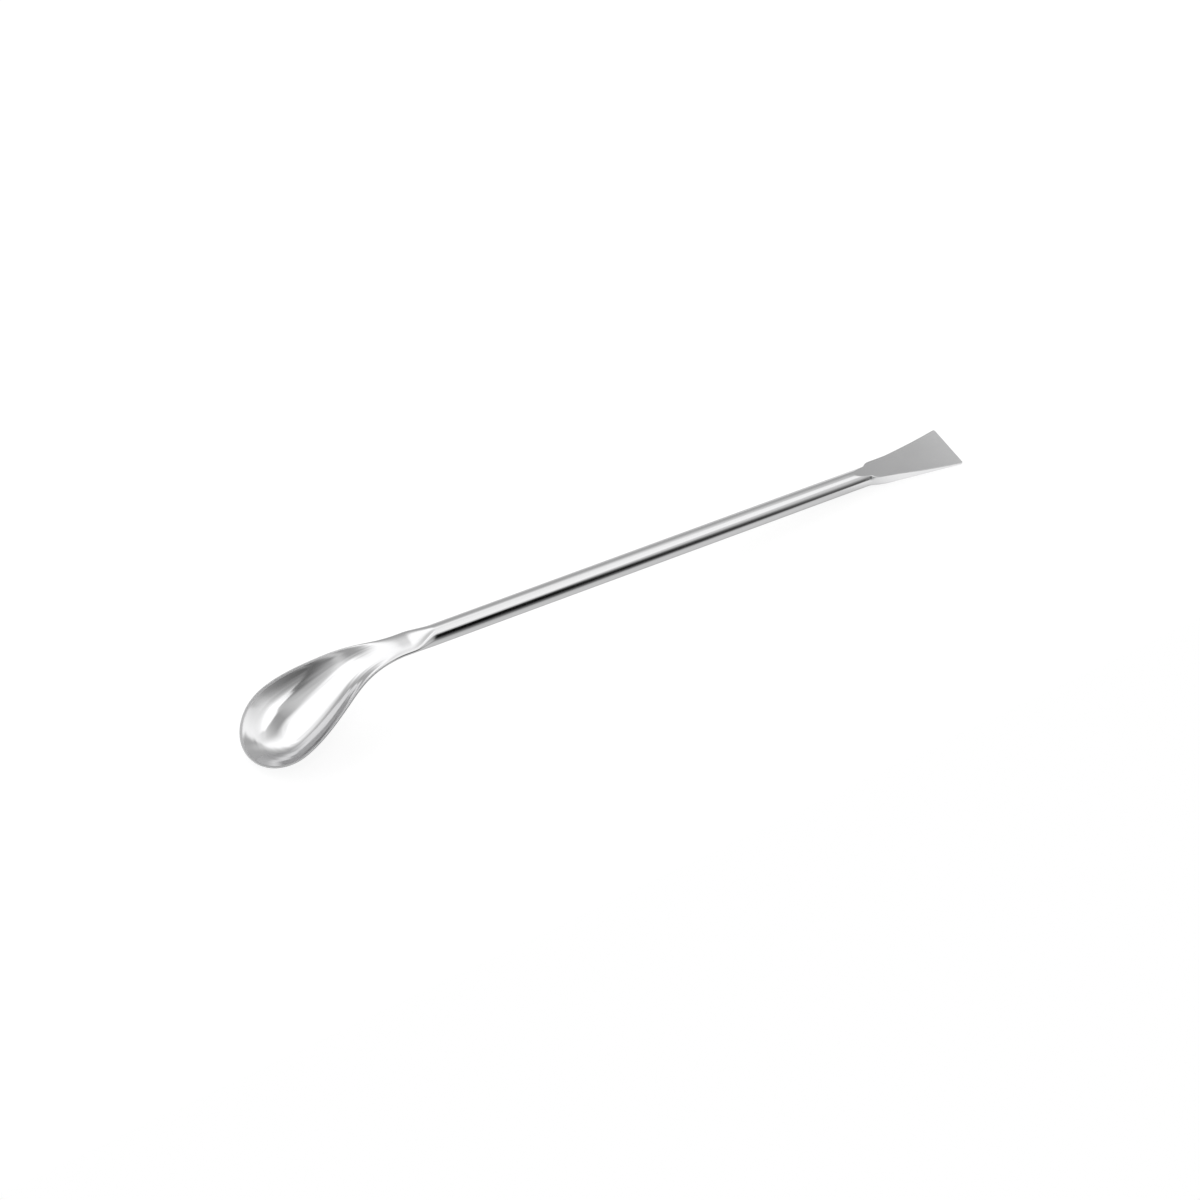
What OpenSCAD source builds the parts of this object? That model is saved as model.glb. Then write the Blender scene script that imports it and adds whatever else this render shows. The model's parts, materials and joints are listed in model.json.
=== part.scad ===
// Lab spatula with a spoon bowl at one end of a round rod and a flared flat
// blade at the other. The whole tool is one piece of polished stainless steel.
// It lies as it rests on a bench, on the belly of the bowl and the lower edge
// of the blade, with the bowl open upwards and +X running from bowl to blade.

/* [Rod] */
// Diameter of the round rod
rod_d = 4.6; // [3.8:0.1:5.6]
// Length of the rod that keeps its full round section
rod_l = 108.8; // [60:0.1:180]

/* [Neck] */
// Length of the neck, from the round rod to where the bowl begins to open
neck_l = 8.1; // [7:0.1:12]
// Length over which the end of the rod is pressed flat
press_l = 6.2; // [5:0.1:7.5]
// Width of the flat neck
neck_w = 6.1; // [5.2:0.1:8]
// Thickness of the flat neck
neck_t = 1.4; // [1:0.05:2]
// Height of the flat neck's middle above the axis of the rod
neck_rise = 0.5; // [0:0.05:0.8]

/* [Bend] */
// Distance from the round rod to the start of the bend
bend_start = 12.4; // [10:0.1:17]
// Length of the bend, measured along the rim
bend_l = 12.6; // [9:0.1:16]
// Angle between the rod and the rim of the bowl
bend_angle = 33; // [25:0.5:42]

/* [Bowl] */
// Length of the bowl along its rim, from the neck to the tip
bowl_l = 41; // [32:0.1:50]
// Width of the bowl between the crests of its rim
bowl_w = 20.8; // [16:0.1:26]
// Length of the round front, from the widest place to the tip
front_l = 10.6; // [8.5:0.1:13]
// Depth of the middle of the wall below the rim
bowl_depth = 5.6; // [4.5:0.1:7]
// Thickness of the bowl's wall
wall_t = 0.9; // [0.7:0.05:1.2]
// Shape of the bowl's sides: 2 is a plain dish, more has steeper sides
side_power = 2.4; // [2:0.05:3]
// Shape of the rim and of the neck's edges: 2 is round, more is squarer
rim_power = 8; // [4:0.5:12]

/* [Blade] */
// Length of the pressed blade, from the round rod to its end
blade_l = 27; // [25:0.1:34]
// Width of the blade at its end
blade_w = 12; // [9:0.1:15]
// Thickness of the blade at its end
end_t = 0.4; // [0.25:0.05:1]
// Distance of the middle of the end below the axis of the rod
end_drop = 0.25; // [0:0.05:0.5]
// Radius of the two corners at the end
corner_r = 0.6; // [0.3:0.1:1.5]
// Depth of the hollow along the upper face
face_dip = 0.6; // [0.3:0.05:0.9]
// Length of the straight flare
flare_l = 16.2; // [13:0.1:20]
// Width of the blade where the flare begins
flare_root_w = 6.4; // [5.6:0.1:8]
// Distance from the end of the blade to its shoulder
shoulder_at = 20.9; // [20.5:0.1:22.5]
// Width of the blade at its shoulder
shoulder_w = 5.5; // [5.2:0.1:7]
// Length of the slope between the shoulder and the rod
shoulder_l = 2.3; // [1.5:0.1:2.5]
// Shape of the blade's side edges: 2 is round, more is squarer
edge_power = 8; // [5:0.5:12]
// Distance from the end at which the lower side edges turn fully square
lower_square_at = 12; // [6:0.5:15]

/* [Hidden] */

rod_r = rod_d / 2;
// The shaped ends start inside the rod, a hair under its surface
sink_l = 1;
sink_r = rod_r - 0.02;
// Sides of each ring of the shaped ends, and rings along each stretch
ring_sides = 42;
half_sides = ring_sides / 2;
back_rings = 54;
front_rings = 16;
corner_rings = 5;
blade_rings = 32;

function eased(t) = let (c = min(max(t, 0), 1)) c * c * (3 - 2 * c);
function mix(a, b, t) = a + (b - a) * t;
// Height of an oval arch: power 2 is a round arch, more is squarer
function arch(out, power) = pow(max(1 - pow(abs(out), power), 0), 1 / power);

// ---- Neck and bowl ----
// Each ring is the rod's section, pressed flat, dished across its width to
// make the hollow, and set square to a spine that runs along the rim.

widest_at = neck_l + bowl_l - front_l;
last_ring = back_rings + front_rings;

// Turn round the front of the bowl: 0 at the widest place, 90 at the tip
function turn(i) = 90 * max(i - back_rings, 0) / front_rings;
// Distance of ring i from the round rod, along the spine
function place(i) = i <= back_rings
    ? mix(-sink_l, widest_at, i / back_rings)
    : widest_at + front_l * sin(turn(i));

function pressed(s) = eased(s / press_l);
function opened(s) = eased((s - neck_l) / (widest_at - neck_l));
function slope(s) = bend_angle * eased((s - bend_start) / bend_l);
function spine_step(i) =
    let (from = place(i), to = place(i + 1), a = slope((from + to) / 2))
    (to - from) * [-cos(a), -sin(a)];
spine = [
    for (i = 0, p = [sink_l, 0]; i <= last_ring; p = p + spine_step(i), i = i + 1)
        p + [0, neck_rise * pressed(place(i))]
];

function half_width(i) = cos(turn(i)) *
    mix(mix(sink_r, neck_w / 2, pressed(place(i))), bowl_w / 2, opened(place(i)));
function half_thickness(s) =
    mix(mix(sink_r, neck_t / 2, pressed(s)), wall_t / 2, opened(s));

// How far out a point lies: 0 is the middle of the bowl, 1 is the rim
function reach(i, across) =
    sqrt(pow(sin(turn(i)), 2) + pow(cos(turn(i)) * across, 2));

// Point in the middle of the wall, with across running from -1 to 1
function wall_point(i, across) =
    let (
        a = slope(place(i)),
        drop = bowl_depth * opened(place(i)) * (1 - pow(reach(i, across), side_power))
    )
    [
        spine[i][0] + drop * sin(a),
        half_width(i) * across,
        spine[i][1] - drop * cos(a)
    ];
wall = [
    for (i = [0 : last_ring])
        [for (j = [0 : half_sides]) wall_point(i, cos(180 * j / half_sides))]
];

// Upward direction, square to the wall
function wall_normal(i, j) =
    let (
        along = wall[i + 1][j] - wall[max(i - 1, 0)][j],
        across = wall[i][min(j + 1, half_sides)] - wall[i][max(j - 1, 0)],
        up = cross(along, across)
    )
    up / norm(up);

// Corner k of ring i: the first half of a ring runs over the upper face
function skin_point(i, k) =
    let (
        upper = k <= half_sides,
        j = upper ? k : ring_sides - k,
        s = place(i),
        lift = half_thickness(s) *
            arch(reach(i, cos(180 * j / half_sides)), mix(2, rim_power, pressed(s)))
    )
    wall[i][j] + (upper ? lift : -lift) * wall_normal(i, j);
spoon_rings = [
    for (i = [0 : last_ring - 1]) [for (k = [0 : ring_sides - 1]) skin_point(i, k)]
];
spoon_tip = wall[last_ring][0];

// ---- Blade ----
// The stock runs from the end of the blade back into the rod, and is then cut
// to a hollow upper face and a flat lower one.

blade_end = rod_l + blade_l;
upper_edge = [blade_end, end_t / 2 - end_drop];
lower_edge = [blade_end, -end_t / 2 - end_drop];

// Half the stock's width, at distance d from its end
function corner_cut(d) = corner_r - sqrt(pow(corner_r, 2) - pow(max(corner_r - d, 0), 2));
function flare_half(d) = mix(blade_w, flare_root_w, d / flare_l) / 2;
function waist_half(d) =
    mix(flare_root_w, shoulder_w, (d - flare_l) / (shoulder_at - flare_l)) / 2;
function shoulder_half(d) = mix(shoulder_w / 2, sink_r, eased((d - shoulder_at) / shoulder_l));
function stock_half(d) =
    d < flare_l ? flare_half(d) - corner_cut(d)
    : d < shoulder_at ? waist_half(d)
    : shoulder_half(d);

// The section turns from round, next to the rod, to square at square_at
function stock_power(d, square_at) =
    let (round_at = shoulder_at + shoulder_l)
    mix(2, edge_power, eased((round_at - d) / (round_at - square_at)));
function stock_point(d, k) =
    let (
        upper = k <= half_sides,
        across = cos(360 * k / ring_sides),
        rise = sink_r * arch(across, stock_power(d, upper ? shoulder_at : lower_square_at))
    )
    [blade_end - d, stock_half(d) * across, upper ? rise : -rise];
stock_places = [
    for (i = [0 : corner_rings - 1]) corner_r * (1 - cos(90 * i / corner_rings)),
    for (i = [0 : blade_rings]) mix(corner_r, blade_l + sink_l, i / blade_rings)
];

// The upper face is an arc from the top of the rod to the blade's upper edge
face_chord = upper_edge - [rod_l, rod_r];
face_r = pow(norm(face_chord), 2) / (8 * face_dip) + face_dip / 2;
face_centre = upper_edge - face_chord / 2
    + (face_r - face_dip) * [-face_chord[1], face_chord[0]] / norm(face_chord);
lower_slope = (lower_edge[1] + rod_r) / blade_l;

// ---- Rest ----
// The spatula tips until the blade's lower edge is level with the belly

belly = [for (ring = spoon_rings) for (p = ring) [p[0], p[2]]];
rest_angle = max([for (p = belly) atan2(lower_edge[1] - p[1], lower_edge[0] - p[0])]);
function rested(p) = [
    p[0] * cos(rest_angle) + p[1] * sin(rest_angle),
    p[1] * cos(rest_angle) - p[0] * sin(rest_angle)
];
rest_left = min([for (p = belly) rested(p)[0]]);
rest_right = max(rested(upper_edge)[0], rested(lower_edge)[0]);
rest_height = rested(lower_edge)[1];

// Closes a stack of rings into a solid, with a flat far end or one that
// comes to a point
module skin(rings, tip = undef) {
    n = len(rings[0]);
    last = (len(rings) - 1) * n;
    sides = [
        for (a = [0 : n : last - n])
            for (k = [0 : n - 1])
                let (next = (k + 1) % n)
                each [[a + k, a + next, a + next + n], [a + k, a + next + n, a + k + n]]
    ];
    near_end = [for (k = [n - 1 : -1 : 0]) k];
    far_end = [for (k = [0 : n - 1]) last + k];
    far_fan = [for (k = [0 : n - 1]) [last + k, last + (k + 1) % n, last + n]];
    polyhedron(
        [for (ring = rings) each ring, if (!is_undef(tip)) tip],
        [near_end, each sides, if (is_undef(tip)) far_end else each far_fan]
    );
}

module rod() {
    rotate([0, 90, 0]) cylinder(h = rod_l, r = rod_r, $fn = 96);
}

module spoon() {
    skin(spoon_rings, spoon_tip);
}

module blade() {
    difference() {
        skin([for (d = stock_places) [for (k = [0 : ring_sides - 1]) stock_point(d, k)]]);
        translate([face_centre[0], 0, face_centre[1]])
            rotate([90, 0, 0]) cylinder(h = 2 * blade_w, r = face_r, center = true, $fn = 720);
        rotate([90, 0, 0]) linear_extrude(2 * blade_w, center = true) polygon([
            [rod_l, -rod_r],
            [blade_end + 1, lower_edge[1] + lower_slope],
            [blade_end + 1, -rod_d],
            [rod_l, -rod_d]
        ]);
    }
}

module spatula() {
    color("silver")
        translate([-(rest_left + rest_right) / 2, 0, -rest_height])
            rotate([0, rest_angle, 0]) {
                rod();
                spoon();
                blade();
            }
}

spatula();
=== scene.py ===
import json
import math

import bmesh
import bpy
import numpy as np
from mathutils import Matrix, Vector


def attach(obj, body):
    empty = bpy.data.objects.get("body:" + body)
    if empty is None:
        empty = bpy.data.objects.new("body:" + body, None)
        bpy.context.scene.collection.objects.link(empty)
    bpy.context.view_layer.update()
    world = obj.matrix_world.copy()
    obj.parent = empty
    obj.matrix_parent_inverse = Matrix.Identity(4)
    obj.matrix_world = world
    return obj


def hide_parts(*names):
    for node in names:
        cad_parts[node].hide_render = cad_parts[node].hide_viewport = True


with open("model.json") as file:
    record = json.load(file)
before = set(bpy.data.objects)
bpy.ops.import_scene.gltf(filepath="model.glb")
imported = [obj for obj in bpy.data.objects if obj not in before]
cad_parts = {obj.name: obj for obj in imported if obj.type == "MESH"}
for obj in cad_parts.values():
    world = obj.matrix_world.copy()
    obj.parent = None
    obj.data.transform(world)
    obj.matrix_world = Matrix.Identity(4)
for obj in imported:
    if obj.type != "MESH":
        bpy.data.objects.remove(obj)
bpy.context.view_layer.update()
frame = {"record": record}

# The spatula is one bar of stainless steel: a dished bowl, a pressed neck, a round rod and
# a flared blade. Its shape is worked out along the rod's own line, in millimetres, with the
# rod running from 0 to ROD_L, and is laid on the bench at the end, in metres.

MM = 0.001
ROD_MOUNT = next(m for m in frame["record"]["mounts"] if m["name"] == "rod")

# ---- Rod ----
ROD_R = ROD_MOUNT["dims"]["r_mm"]
ROD_L = ROD_MOUNT["dims"]["length_mm"]

# ---- Neck and bend, with places measured from the round rod ----
# The bowl begins to open where the neck ends
NECK_L = 8.1
# Stretch over which the end of the rod is pressed flat
PRESS_L = 6.2
NECK_W = 6.1
NECK_T = 1.4
# Height of the neck's middle above the rod's own line
NECK_RISE = 0.5
BEND_START = 12.4
BEND_L = 12.6
BEND_ANGLE = math.radians(33)

# ---- Bowl ----
BOWL_L = 41.0
BOWL_W = 20.8
# From the widest place to the tip
FRONT_L = 10.6
# From the rim down to the middle of the wall
BOWL_DEPTH = 5.6
WALL_T = 0.9
# Powers of the hollow and of the rim: 2 is round, more is squarer
SIDE_POWER = 2.4
RIM_POWER = 3.0
WIDEST_AT = NECK_L + BOWL_L - FRONT_L
TIP_AT = NECK_L + BOWL_L

# ---- Blade, with places measured from its end ----
BLADE_L = 27.0
BLADE_W = 12.0
END_T = 0.4
# How far the middle of the end lies below the rod's own line
END_DROP = 0.25
# Radius of the two corners at the end, seen from above
CORNER_R = 0.6
# Depth of the hollow along the upper face
FACE_DIP = 0.6
FLARE_L = 16.2
FLARE_ROOT_W = 6.4
SHOULDER_AT = 20.9
SHOULDER_W = 5.5
SHOULDER_L = 2.3
# Power of the side edges, and where the lower ones turn fully square
EDGE_POWER = 8.0
LOWER_SQUARE_AT = 12.0
BLADE_END = ROD_L + BLADE_L
# Softening of the waist, of the long edges and of the end, left by polishing
WAIST_SOFTENING = 0.7
EDGE_R = 0.14
END_R = 0.12
# The rounding of a long edge takes at most these shares of the half width and half height
EDGE_OF_WIDTH = 0.4
EDGE_OF_HEIGHT = 0.3

# ---- Mesh ----
# A quarter of a ring runs from the middle of a side to the middle of a face
SIDE_STEPS = 13
ROUND_STEPS = 4
CAP_STEPS = 15
QUARTER = SIDE_STEPS + ROUND_STEPS + CAP_STEPS
# On the spoon, this many of a quarter's steps lie round its rim
RIM_STEPS = 9
BACK_RINGS = 150
FRONT_SPOKES = 80
ROD_RINGS = 60
BLADE_RINGS = 150
END_RINGS = 4
CORNER_RINGS = 7
SPINE_STEPS = 6000
WAIST_SAMPLES = 9
# Over 1, the points of the blade's faces draw together towards their edges
CAP_POWER = 1.5
# Corners closer together than MERGE become one, and edges shorter than SLIVER go
MERGE = 0.003
SLIVER = 0.0001


def eased(t):
    t = np.clip(t, 0, 1)
    return t * t * (3 - 2 * t)


def mix(a, b, t):
    return a + (b - a) * t


def arch(out, power):
    """Height of an oval arch: power 2 is a round arch, more is squarer"""
    return np.maximum(1 - np.abs(out) ** power, 0) ** (1 / power)


# ---- Neck and bowl: the rod's section, pressed flat, dished, and bent along a spine ----

def pressed(s):
    return eased(s / PRESS_L)


def opened(s):
    return eased((s - NECK_L) / (WIDEST_AT - NECK_L))


def slope(s):
    return BEND_ANGLE * eased((s - BEND_START) / BEND_L)


# The spine goes a little past the tip, because the wall's slope at the tip looks ahead
spine_s = np.linspace(0, TIP_AT + 1, SPINE_STEPS + 1)
spine_step = spine_s[1] - spine_s[0]
spine_slope = slope((spine_s[1:] + spine_s[:-1]) / 2)
spine_x = -spine_step * np.concatenate([[0], np.cumsum(np.cos(spine_slope))])
spine_fall = spine_step * np.concatenate([[0], np.cumsum(np.sin(spine_slope))])
spine_z = NECK_RISE * pressed(spine_s) - spine_fall


def spoon_half_width(s):
    return mix(mix(ROD_R, NECK_W / 2, pressed(s)), BOWL_W / 2, opened(s))


def spoon_half_thickness(s):
    return mix(mix(ROD_R, NECK_T / 2, pressed(s)), WALL_T / 2, opened(s))


def reach(s, across):
    """How far out a point lies: 0 is the middle of the bowl, 1 is the rim"""
    ahead = np.maximum(s - WIDEST_AT, 0) / FRONT_L
    return np.sqrt(ahead ** 2 + across ** 2)


def wall(s, across):
    """Middle of the wall, at distance s along the spine"""
    drop = BOWL_DEPTH * opened(s) * (1 - reach(s, across) ** SIDE_POWER)
    return np.stack([
        np.interp(s, spine_s, spine_x) + drop * np.sin(slope(s)),
        spoon_half_width(s) * across,
        np.interp(s, spine_s, spine_z) - drop * np.cos(slope(s)),
    ], axis=-1)


def skin(s, across, side):
    """Surface of the wall: side 1 is the upper face and -1 the lower one"""
    # The wall's slopes are taken over a hair's breadth
    hair = 0.02
    along = wall(s + hair, across) - wall(np.maximum(s - hair, 0), across)
    outward = wall(s, across + hair / 4) - wall(s, across - hair / 4)
    up = np.cross(outward, along)
    up /= np.linalg.norm(up, axis=-1, keepdims=True)
    edge = arch(np.minimum(reach(s, across), 1), mix(2, RIM_POWER, pressed(s)))
    return wall(s, across) + side * (spoon_half_thickness(s) * edge)[..., None] * up


def across_places(power):
    """Places from the edge, 1, to the middle, 0, closest together round the edge"""
    turn = math.pi / 4 * np.linspace(0, 1, RIM_STEPS + 1) ** 2
    rim = np.cos(turn) ** (2 / power)
    face_turn = np.linspace(math.asin(rim[-1]), 0, QUARTER - RIM_STEPS + 1)[1:]
    return np.concatenate([rim, np.sin(face_turn)])


def grain_at(along, out):
    """Place in the polishing: distance along the rim, and share of the way out to it"""
    return np.stack([np.full_like(out, along), out], axis=-1)


def spoon_back_rings():
    """Rings from the rod to the bowl's widest place, and their grain"""
    rings = []
    grain = []
    for s in np.linspace(0, WIDEST_AT, BACK_RINGS + 1):
        half = across_places(mix(2, RIM_POWER, pressed(s)))
        across = np.concatenate([half, -half[-2::-1]])
        place = np.full_like(across, s)
        upper = skin(place, across, 1)
        lower = skin(place, across, -1)
        rings.append(np.concatenate([upper, lower[-2:0:-1]]))
        grain.append(grain_at(s, np.abs(np.concatenate([across, across[-2:0:-1]]))))
    return np.array(rings), np.array(grain)


def spoon_front_spokes(side):
    """Spokes from the rim to the middle, half a turn round the bowl's front, and their grain"""
    out = across_places(RIM_POWER)
    spokes = []
    grain = []
    for turn in np.linspace(0, math.pi, FRONT_SPOKES + 1):
        place = WIDEST_AT + FRONT_L * out * math.sin(turn)
        spokes.append(skin(place, out * math.cos(turn), side))
        round_front = BOWL_W / 2 * min(turn, math.pi - turn)
        grain.append(grain_at(WIDEST_AT + round_front, out))
    return np.array(spokes), np.array(grain)


# ---- Rod ----

def rod_rings():
    """Rings whose corners drift from where the neck has them to where the blade has them"""
    at_neck = np.arccos(across_places(2))
    at_blade = math.pi / 2 * np.minimum(np.arange(QUARTER + 1) / SIDE_STEPS, 1)
    rings = []
    for t in np.linspace(0, 1, ROD_RINGS + 1):
        quarter = mix(at_neck, at_blade, eased(t))
        upper = np.concatenate([quarter, math.pi - quarter[-2::-1]])
        turn = np.concatenate([upper, -upper[-2:0:-1]])
        x = np.full_like(turn, ROD_L * t)
        rings.append(np.stack([x, ROD_R * np.cos(turn), ROD_R * np.sin(turn)], axis=-1))
    return np.array(rings)


# ---- Blade: a flared stock, ground to a hollow upper face and a flat lower one ----

upper_edge = np.array([BLADE_END, END_T / 2 - END_DROP])
lower_edge = np.array([BLADE_END, -END_T / 2 - END_DROP])
face_chord = upper_edge - np.array([ROD_L, ROD_R])
face_chord_l = np.linalg.norm(face_chord)
face_r = face_chord_l ** 2 / (8 * FACE_DIP) + FACE_DIP / 2
face_normal = np.array([-face_chord[1], face_chord[0]]) / face_chord_l
face_centre = upper_edge - face_chord / 2 + (face_r - FACE_DIP) * face_normal


def upper_face(d):
    """Height of the hollow face at distance d from the blade's end"""
    out = BLADE_END - d - face_centre[0]
    return face_centre[1] - math.sqrt(face_r ** 2 - out ** 2)


def lower_face(d):
    return mix(lower_edge[1], -ROD_R, d / BLADE_L)


def rounding(d, radius):
    """How far a round edge of that radius lies inside its corner"""
    return radius - math.sqrt(radius ** 2 - max(radius - d, 0) ** 2)


def plain_half_width(d):
    """Half the stock's width, with its corners and its waist still sharp"""
    flare = mix(BLADE_W, FLARE_ROOT_W, d / FLARE_L) / 2
    waist = mix(FLARE_ROOT_W, SHOULDER_W, (d - FLARE_L) / (SHOULDER_AT - FLARE_L)) / 2
    shoulder = mix(SHOULDER_W / 2, ROD_R, eased((d - SHOULDER_AT) / SHOULDER_L))
    return np.where(d < FLARE_L, flare, np.where(d < SHOULDER_AT, waist, shoulder))


def blade_half_width(d):
    """Half the stock's width, with the waist averaged out and the corners rounded"""
    window = min(WAIST_SOFTENING, d)
    softened = plain_half_width(d + window * np.linspace(-1, 1, WAIST_SAMPLES)).mean()
    return softened - rounding(d, CORNER_R) - rounding(d, END_R)


def stock_power(d, square_at):
    """The section turns from round, next to the rod, to square at square_at"""
    round_at = SHOULDER_AT + SHOULDER_L
    return mix(2, EDGE_POWER, eased((round_at - d) / (round_at - square_at)))


def blade_quarter(d, middle, face, power):
    """Half of one side and of its face: width and height, from the side to the face"""
    half_width = blade_half_width(d)

    def side_point(turn):
        height = ROD_R * np.sin(turn)
        return np.stack([half_width * arch(height / ROD_R, power), height], axis=-1)

    last_turn = math.asin(min(face / ROD_R, 1))
    corner = side_point(last_turn)
    radius = min(EDGE_R, EDGE_OF_WIDTH * corner[0], EDGE_OF_HEIGHT * (face - middle))
    first_turn = math.asin(middle / ROD_R)
    span = last_turn - radius / ROD_R - first_turn
    # Where a face cuts the round short, the points draw together next to the cut
    steps = 1 - np.linspace(1, 0, SIDE_STEPS + 1) ** min(math.pi / 2 / span, 2)
    side = side_point(first_turn + span * steps)
    # The long edge curves from the side to the face, just inside their corner
    cap_start = np.array([corner[0] - radius, face])
    t = np.linspace(0, 1, ROUND_STEPS + 1)[1:, None]
    edge = (1 - t) ** 2 * side[-1] + 2 * t * (1 - t) * corner + t ** 2 * cap_start
    inward = np.linspace(0, 1, CAP_STEPS + 1)[1:] ** CAP_POWER
    cap = np.stack([cap_start[0] * (1 - inward), np.full(CAP_STEPS, face)], axis=-1)
    return np.concatenate([side, edge, cap])


def blade_ring(d):
    """Corners of the section at distance d from the blade's end, once round"""
    top = upper_face(d) - rounding(d, END_R)
    bottom = lower_face(d) + rounding(d, END_R)
    middle = (top + bottom) / 2
    turned_over = [1, -1]
    other_side = [-1, 1]
    upper = blade_quarter(d, middle, top, stock_power(d, SHOULDER_AT))
    lower = blade_quarter(d, -middle, -bottom, stock_power(d, LOWER_SQUARE_AT)) * turned_over
    ring = np.concatenate([
        upper, (upper * other_side)[-2::-1], (lower * other_side)[1:], lower[-2:0:-1],
    ])
    return np.insert(ring, 0, BLADE_END - d, axis=1)


def blade_rings():
    """Rings from the blade's end to the rod"""
    end = END_R * (1 - np.cos(np.linspace(0, math.pi / 2, END_RINGS + 1)))
    corner = np.linspace(END_R, CORNER_R, CORNER_RINGS + 1)[1:]
    rest = np.linspace(CORNER_R, BLADE_L, BLADE_RINGS + 1)[1:]
    return np.array([blade_ring(d) for d in np.concatenate([end, corner, rest])])


def straight_grain(rings):
    """Grain of the rod and blade, which runs straight on from the neck's"""
    return np.stack([-rings[..., 0], np.abs(rings[..., 1]) / ROD_R], axis=-1)


# ---- The mesh ----

def on_bench(points):
    """Places points of the rod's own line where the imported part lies, in metres"""
    forward = np.array(ROD_MOUNT["axis"])
    sideways = np.array([0, 1, 0])
    upward = np.cross(forward, sideways)
    from_middle = (points - [ROD_L / 2, 0, 0]) * MM
    return ROD_MOUNT["pos_m"] + from_middle @ np.array([forward, sideways, upward])


def add_sheet(mesh, rows, grain, closed, flipped=False):
    """Adds a sheet of four-sided faces between rows of points"""
    count = rows.shape[1]
    layer = mesh.verts.layers.float_vector["grain"]
    corners = [mesh.verts.new(p) for p in on_bench(rows.reshape(-1, 3))]
    # The width goes with the grain, so that the two sides differ
    for corner, way, y in zip(corners, grain.reshape(-1, 2), rows[..., 1].flat):
        corner[layer] = (*way, y)
    last = count if closed else count - 1
    for r in range(len(rows) - 1):
        for c in range(last):
            a = corners[r * count + c]
            b = corners[r * count + (c + 1) % count]
            above = corners[(r + 1) * count + (c + 1) % count]
            beside = corners[(r + 1) * count + c]
            loop = [a, beside, above, b] if flipped else [a, b, above, beside]
            mesh.faces.new(loop)
    return corners


def make_spatula():
    """One closed mesh, with the grain kept at its corners for the finish"""
    mesh = bmesh.new()
    mesh.verts.layers.float_vector.new("grain")
    add_sheet(mesh, *spoon_back_rings(), closed=True)
    add_sheet(mesh, *spoon_front_spokes(1), closed=False, flipped=True)
    add_sheet(mesh, *spoon_front_spokes(-1), closed=False)
    rod = rod_rings()
    add_sheet(mesh, rod, straight_grain(rod), closed=True, flipped=True)
    flared = blade_rings()
    blade = add_sheet(mesh, flared, straight_grain(flared), closed=True)
    end_ring = blade[:4 * QUARTER]
    mesh.faces.new(end_ring[::-1])
    bmesh.ops.remove_doubles(mesh, verts=mesh.verts[:], dist=MERGE * MM)
    bmesh.ops.dissolve_degenerate(mesh, edges=mesh.edges[:], dist=SLIVER * MM)
    bmesh.ops.recalc_face_normals(mesh, faces=mesh.faces[:])
    data = bpy.data.meshes.new("spatula_steel")
    mesh.to_mesh(data)
    mesh.free()
    data.polygons.foreach_set("use_smooth", [True] * len(data.polygons))
    spatula = bpy.data.objects.new("spatula_steel", data)
    bpy.context.scene.collection.objects.link(spatula)
    return spatula


# ---- Nodes ----

class Value:
    """A number that varies over a surface, or a colour or vector on its way to a socket"""

    def __init__(self, nodes, socket):
        self.nodes = nodes
        self.socket = socket

    def maths(self, operation, *values):
        sockets = dict(enumerate(values))
        return self.nodes.add("ShaderNodeMath", {"operation": operation}, sockets)

    def __add__(self, other):
        return self.maths("ADD", self, other)

    def __radd__(self, other):
        return self.maths("ADD", other, self)

    def __sub__(self, other):
        return self.maths("SUBTRACT", self, other)

    def __rsub__(self, other):
        return self.maths("SUBTRACT", other, self)

    def __mul__(self, other):
        return self.maths("MULTIPLY", self, other)

    def __rmul__(self, other):
        return self.maths("MULTIPLY", other, self)

    def size(self):
        return self.maths("ABSOLUTE", self)

    def between(self, low, high):
        """0 below low, 1 above high, and an eased slope from one to the other"""
        return self.nodes.add(
            "ShaderNodeMapRange",
            {"interpolation_type": "SMOOTHSTEP"},
            {"Value": self, "From Min": low, "From Max": high},
        )


class Nodes:
    """The nodes of one material, or of the world"""

    def __init__(self, owner):
        owner.use_nodes = True
        self.tree = owner.node_tree
        self.tree.nodes.clear()

    def add(self, kind, settings, sockets, out=0):
        """Adds a node, sets it, fills its sockets, and gives one of its outputs"""
        node = self.tree.nodes.new(kind)
        for name, setting in settings.items():
            setattr(node, name, setting)
        for name, value in sockets.items():
            if isinstance(value, Value):
                self.tree.links.new(value.socket, node.inputs[name])
            else:
                node.inputs[name].default_value = value
        return Value(self, node.outputs[out] if node.outputs else None)

    def blended(self, factor, first, second):
        """A colour between two colours, which are sockets 6 and 7 of the Mix node"""
        settings = {"data_type": "RGBA"}
        return self.add("ShaderNodeMix", settings, {0: factor, 6: first, 7: second}, 2)


def grey(level):
    return (level, level, level, 1)


# ---- Steel ----

STEEL = (0.7, 0.7, 0.705, 1)
# Darker steel round the rim is painted shade, which dims the rim's highlight
RIM_SHADE_STEEL = (0.55, 0.55, 0.555, 1)
# Darkens the steel where it is seen at a shallow angle
SHALLOW_TINT = 0.7
# The ground finish of the blade sets in here, in millimetres beyond the round rod
GROUND_FROM = 1
GROUND_TO = 4
# The polishing waves grow to full height over this many millimetres beyond the neck
WAVES_GROW = 16
# In shares of the way from the middle to the rim, the waves set in, and then the rim's
# roughness and its painted shade
WAVES_FROM = 0.02
WAVES_TO = 0.3
RIM_ROUGH_AND_SHADE_FROM = 0.955
RIM_ROUGH_AND_SHADE_TO = 0.98
# Grains of each mark: per millimetre along, across and up, or for the waves per millimetre
# along the rim, per share of the way out to it, and per millimetre across
DRAWN_GRAINS = (0.05, 9, 9)
SMUDGE_GRAINS = (0.18, 0.3, 0.3)
WAVE_GRAINS = (0.05, 6, 0.08)
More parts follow.
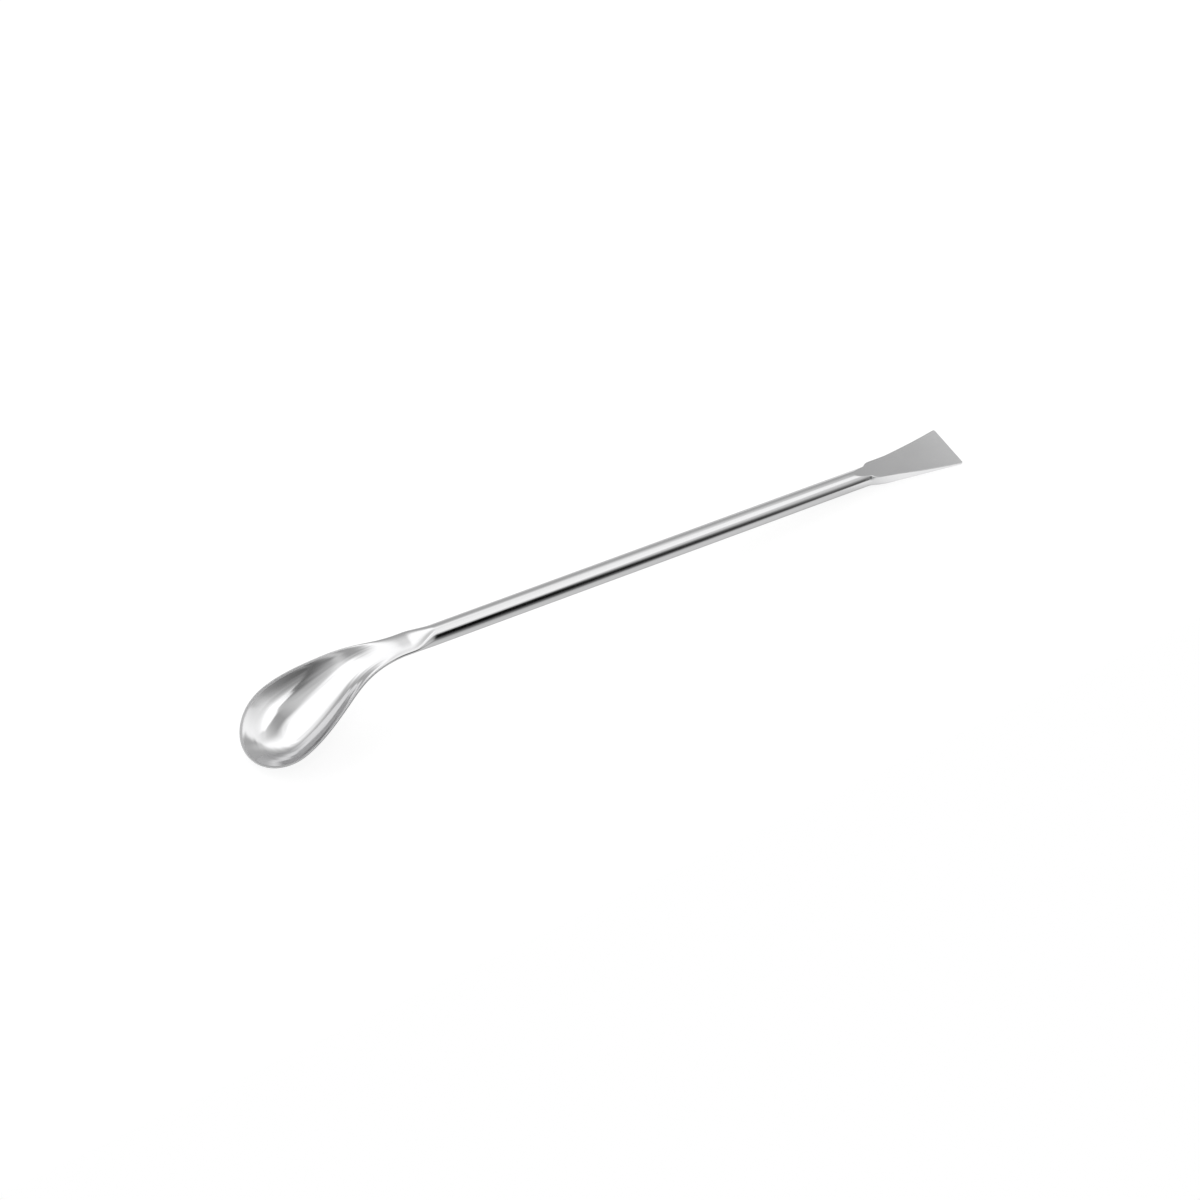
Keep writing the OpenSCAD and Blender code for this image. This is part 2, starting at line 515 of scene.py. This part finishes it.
# Roughness of the polish, and what the marks on it add
POLISH = 0.05
DRAWN = 0.06
SMUDGED = 0.05
GROUND_SMUDGED = 0.08
GROUND = 0.1
WORN = 0.45
# Heights of the marks, in multiples of BUMP_HEIGHT
DRAWN_HEIGHT = 0.3
GROUND_HEIGHT = 8
WAVE_HEIGHT = 4
BOWL_WAVE_HEIGHT = 45
BUMP_HEIGHT = 0.01
BUMP_STRENGTH = 0.15


def steel_places(nodes):
    """Millimetres along the rod's line from the middle of the rod, across it and above it"""
    axis = ROD_MOUNT["axis"]
    tipped = math.atan2(-axis[2], axis[0])
    here = nodes.add("ShaderNodeTexCoord", {}, {}, "Object")
    shifted = nodes.add(
        "ShaderNodeVectorMath", {"operation": "SUBTRACT"},
        {0: here, 1: Vector(ROD_MOUNT["pos_m"])})
    level = nodes.add(
        "ShaderNodeVectorRotate", {"rotation_type": "Y_AXIS"},
        {"Vector": shifted, "Angle": -tipped})
    return nodes.add(
        "ShaderNodeVectorMath", {"operation": "SCALE"}, {0: level, "Scale": 1 / MM})


def stretched_noise(nodes, places, grains, detail):
    """Noise with its own number of grains to a unit of places along each axis"""
    scaled = nodes.add(
        "ShaderNodeVectorMath", {"operation": "MULTIPLY"}, {0: places, 1: grains})
    return nodes.add(
        "ShaderNodeTexNoise", {}, {"Vector": scaled, "Scale": 1.0, "Detail": detail})


def make_steel():
    """Polished steel, drawn along the rod, waved round the bowl and ground on the blade"""
    steel = bpy.data.materials.new("polished_steel")
    nodes = Nodes(steel)
    places = steel_places(nodes)
    along = nodes.add("ShaderNodeSeparateXYZ", {}, {0: places}, "X")
    grain = nodes.add("ShaderNodeAttribute", {"attribute_name": "grain"}, {}, "Vector")
    out = nodes.add("ShaderNodeSeparateXYZ", {}, {0: grain}, "Y")
    neck_end = -ROD_L / 2 - NECK_L
    on_blade = along.between(ROD_L / 2 + GROUND_FROM, ROD_L / 2 + GROUND_TO)
    on_bowl = 1 - along.between(neck_end - WAVES_GROW, neck_end)
    # Round the rim the steel turns rougher, and darker as painted shade that dims the rim's
    # highlight
    on_rim = out.between(RIM_ROUGH_AND_SHADE_FROM, RIM_ROUGH_AND_SHADE_TO) * on_bowl

    draw_lines = stretched_noise(nodes, places, DRAWN_GRAINS, 3)
    smudges = stretched_noise(nodes, places, SMUDGE_GRAINS, 3)
    waves = stretched_noise(nodes, grain, WAVE_GRAINS, 1) - 0.5
    wave_height = (WAVE_HEIGHT + on_bowl * BOWL_WAVE_HEIGHT) * (1 - on_blade)
    wave_height = wave_height * out.between(WAVES_FROM, WAVES_TO)
    height = draw_lines * (DRAWN_HEIGHT + on_blade * GROUND_HEIGHT) + waves * wave_height
    bump = nodes.add(
        "ShaderNodeBump", {},
        {"Strength": BUMP_STRENGTH, "Distance": BUMP_HEIGHT * MM, "Height": height})

    roughness = POLISH + draw_lines * DRAWN + smudges * (SMUDGED + on_blade * GROUND_SMUDGED)
    roughness = roughness + on_blade * GROUND + on_rim * WORN
    surface = nodes.add(
        "ShaderNodeBsdfPrincipled", {},
        {
            "Base Color": nodes.blended(on_rim, STEEL, RIM_SHADE_STEEL), "Metallic": 1.0,
            "Roughness": roughness, "Normal": bump, "Specular Tint": grey(SHALLOW_TINT),
        })
    nodes.add("ShaderNodeOutputMaterial", {}, {"Surface": surface})
    return steel


# ---- Bench ----

BENCH_MIDDLE = (0, 0.1, 0)
BENCH_SIZE = (0.8, 0.34, 1)
BENCH_GLOW = 0.8
BENCH_PAINT = 0.28


def make_bench():
    """A white sheet that glows evenly to the camera, so that only a faint shadow shows on it,
    and that shows the steel a painted reflection of itself
    """
    bpy.ops.mesh.primitive_plane_add(size=1, location=BENCH_MIDDLE)
    bench = bpy.context.object
    bench.name = "bench"
    bench.scale = BENCH_SIZE
    white = bpy.data.materials.new("white_bench")
    nodes = Nodes(white)
    sight = nodes.add("ShaderNodeLightPath", {}, {}, "Is Camera Ray")
    glossy = nodes.add("ShaderNodeLightPath", {}, {}, "Is Glossy Ray")
    place = nodes.add("ShaderNodeNewGeometry", {}, {}, "Position")
    along = nodes.add("ShaderNodeSeparateXYZ", {}, {0: place}, "X")
    depth = nodes.add("ShaderNodeSeparateXYZ", {}, {0: place}, "Y")
    # Painted reflection: mirrored in the steel, it is darkened by painted shade in front of the
    # spatula and light behind it, and lighter next to the blade than next to the rod
    level = depth.between(-0.065, -0.001) * (0.6 + along.between(0.062, 0.076) * 0.4)
    painted_reflection = nodes.blended(glossy * level, grey(0), grey(1))
    shown = nodes.blended(sight, painted_reflection, grey(BENCH_GLOW))
    glow = nodes.add("ShaderNodeEmission", {}, {"Color": shown, "Strength": 1.0})
    paint = nodes.add("ShaderNodeBsdfDiffuse", {}, {"Color": grey(BENCH_PAINT)})
    both = nodes.add("ShaderNodeAddShader", {}, {0: paint, 1: glow})
    nodes.add("ShaderNodeOutputMaterial", {}, {"Surface": both})
    bench.data.materials.append(white)


# ---- Room: how light each part of it is, where 1 is white ----

FAR_WALL = 0.53
CEILING = 1.45
DULL_WALL = 0.46
NEAR_WALL = 0.78
DARK_CORNER = 0.02
NEAR_BOX = 1.65
FAR_BOX = 1.55
OPEN_DOOR = 0.0


def make_room():
    """White to the camera; to the steel, a pale studio with a dark door and a dark corner"""
    world = bpy.data.worlds.new("studio")
    bpy.context.scene.world = world
    nodes = Nodes(world)
    toward = nodes.add("ShaderNodeTexCoord", {}, {}, "Generated")
    # 0 is level and 1 is overhead
    up = nodes.add("ShaderNodeSeparateXYZ", {}, {0: toward}, "Z")

    def facing(azimuth):
        """1 is level and straight that way, 0 is square to it, and -1 is straight away"""
        turn = math.radians(azimuth)
        return nodes.add(
            "ShaderNodeVectorMath", {"operation": "DOT_PRODUCT"},
            {0: toward, 1: (math.cos(turn), math.sin(turn), 0)}, "Value")

    def toned(level, tone, share):
        return level + (tone - level) * share

    # Far wall, ceiling, and the duller wall beyond the bowl
    level = toned(FAR_WALL, CEILING, (up - facing(10) * 0.38).between(0.5, 0.61))
    dull_wall = facing(173).between(-0.87, 0.34) * up.between(0.44, 0.87)
    level = toned(level, DULL_WALL, dull_wall)
    # Near wall, with a dark corner beside the bowl
    near_wall = facing(-80).between(0.2, 0.46) * (1 - up.between(0.71, 0.75))
    level = toned(level, NEAR_WALL, near_wall)
    corner = facing(-144).between(0, 0.4) * (1 - facing(-54).size().between(-0.4, 1.3))
    level = toned(level, DARK_CORNER, corner * (1 - up.between(0.37, 0.84)))
    # Two big soft boxes, on the near side and the far side, with a gap between them overhead
    near_box = (up + facing(167) * 0.57).between(0.57, 0.92)
    level = toned(level, NEAR_BOX, near_box * facing(-64).between(0.13, 0.18))
    far_box = (up - facing(37) * 0.79).between(-0.15, 0.5) * (1 - up.between(0.75, 1.09))
    level = toned(level, FAR_BOX, far_box * facing(105).between(0.12, 0.46))
    # An open door, dark up to nearly the camera's height
    door = facing(-70).between(0, 0.3) * (1 - facing(20).size().between(0.14, 0.33))
    door = door * up.between(-0.86, 0.28) * (1 - up.between(0.5, 0.73))
    level = toned(level, OPEN_DOOR, door)
    colour = nodes.add("ShaderNodeCombineColor", {}, {0: level, 1: level, 2: level})
    studio = nodes.add("ShaderNodeBackground", {}, {"Color": colour, "Strength": 1.0})
    backdrop = nodes.add("ShaderNodeBackground", {}, {"Color": grey(1), "Strength": 1.0})
    sight = nodes.add("ShaderNodeLightPath", {}, {}, "Is Camera Ray")
    both = nodes.add("ShaderNodeMixShader", {}, {0: sight, 1: studio, 2: backdrop})
    nodes.add("ShaderNodeOutputWorld", {}, {"Surface": both})


# ---- Camera ----

# Azimuth is 0 straight in front and grows to the right
CAMERA_AZIMUTH = math.radians(-31.72)
CAMERA_ELEVATION = math.radians(49.77)
CAMERA_ROLL = math.radians(1.32)
# In millimetres
CAMERA_DISTANCE = 746
CAMERA_AIM = (-4.9, -3.1, 5.0)


def make_camera():
    """Looks down along the spatula from beside the bowl"""
    back = Vector((
        math.sin(CAMERA_AZIMUTH) * math.cos(CAMERA_ELEVATION),
        -math.cos(CAMERA_AZIMUTH) * math.cos(CAMERA_ELEVATION),
        math.sin(CAMERA_ELEVATION),
    ))
    data = bpy.data.cameras.new("camera")
    data.sensor_width = 36
    data.lens = 102
    data.clip_start = 0.01
    camera = bpy.data.objects.new("camera", data)
    bpy.context.scene.collection.objects.link(camera)
    level = back.to_track_quat("Z", "Y").to_matrix()
    rolled = level @ Matrix.Rotation(CAMERA_ROLL, 3, "Z")
    place = (Vector(CAMERA_AIM) + back * CAMERA_DISTANCE) * MM
    camera.matrix_world = Matrix.Translation(place) @ rolled.to_4x4()
    bpy.context.scene.camera = camera


make_camera()
make_room()
make_bench()
spatula = make_spatula()
spatula.data.materials.append(make_steel())
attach(spatula, "root")
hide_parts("spatula")

bpy.context.scene.view_settings.view_transform = "Standard"
